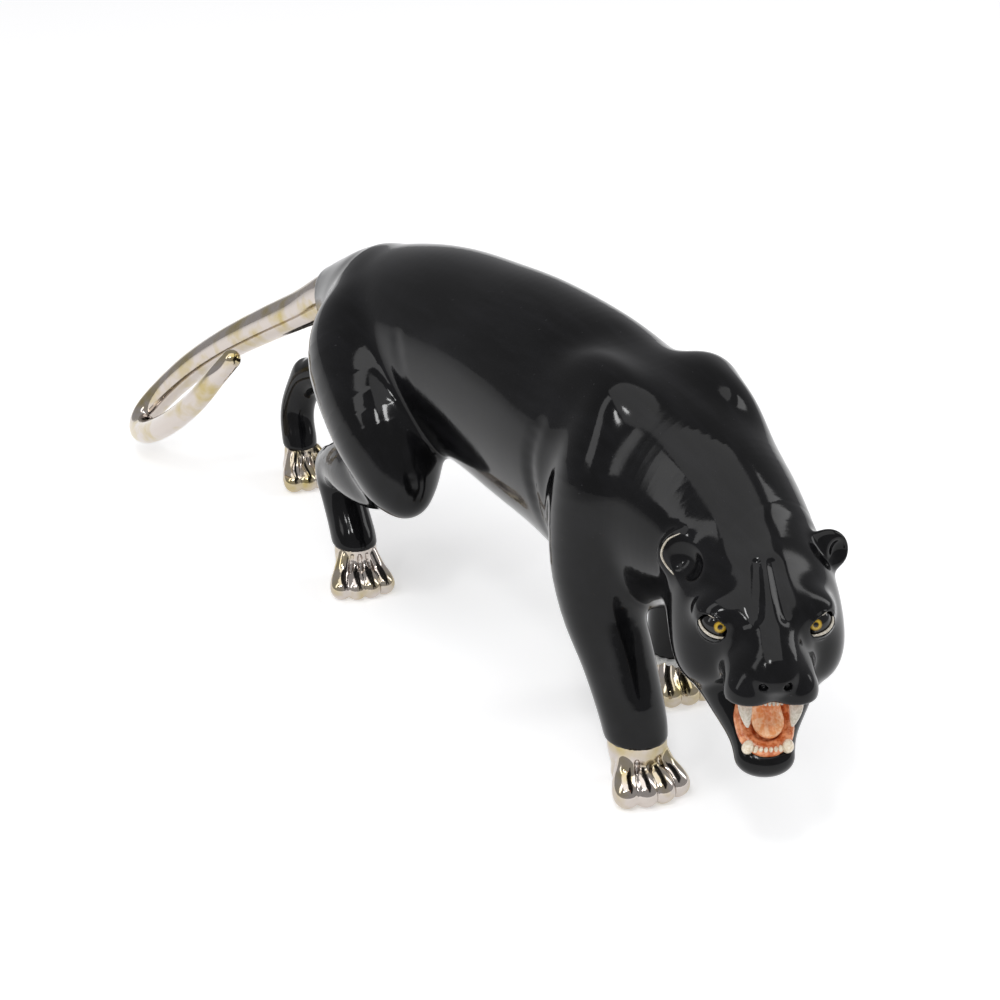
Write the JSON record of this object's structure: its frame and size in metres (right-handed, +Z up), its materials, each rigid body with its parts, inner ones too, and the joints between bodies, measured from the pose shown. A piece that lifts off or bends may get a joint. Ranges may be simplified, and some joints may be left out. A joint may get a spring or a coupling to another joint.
{
  "type": "ceramic panther figure",
  "caption": "Prowling panther figure in black glazed ceramic, head low and mouth open, with platinum lustred paws and curled tail.",
  "frame": {"origin": "centre of the bounding box, on the floor plane under the paws", "axes": "+Z up; the body runs along Y with the head towards -Y, and the panther's own left side is towards +X"},
  "size_m": [0.1406, 0.6382, 0.2232],
  "materials": {
    "black_glaze": "glossy black glaze over a fired clay body",
    "platinum_lustre": "mirror-like platinum lustre fired over a glazed ceramic body",
    "eye_enamel": "glossy black eyeball with a painted golden iris and a black pupil",
    "tongue_glaze": "glossy peach glaze, brushed on in streaks",
    "gum_glaze": "glossy brown-orange glaze",
    "tooth_glaze": "glossy ivory glaze",
    "tooth_lustre": "pearly lustre over ivory glaze",
    "white_cement": "matte white bonding cement"
  },
  "bodies": {
    "root": {"torso": "black_glaze", "head": "black_glaze", "lower_jaw": "black_glaze", "left_ear": "black_glaze", "right_ear": "black_glaze", "left_eye": "eye_enamel", "right_eye": "eye_enamel", "tongue": "tongue_glaze", "palate": "gum_glaze", "lower_gum": "gum_glaze", "left_upper_canine": "tooth_glaze", "right_upper_canine": "tooth_glaze", "left_lower_canine": "tooth_lustre", "right_lower_canine": "tooth_lustre", "upper_incisors": "tooth_glaze", "lower_incisors": "tooth_lustre", "right_front_leg": "black_glaze", "left_front_leg": "black_glaze", "right_hind_leg": "black_glaze", "left_hind_leg": "black_glaze", "right_front_paw": "platinum_lustre", "left_front_paw": "platinum_lustre", "right_hind_paw": "platinum_lustre", "left_hind_paw": "platinum_lustre", "tail": "platinum_lustre", "cement_bead": "white_cement"}
  },
  "joints": []
}
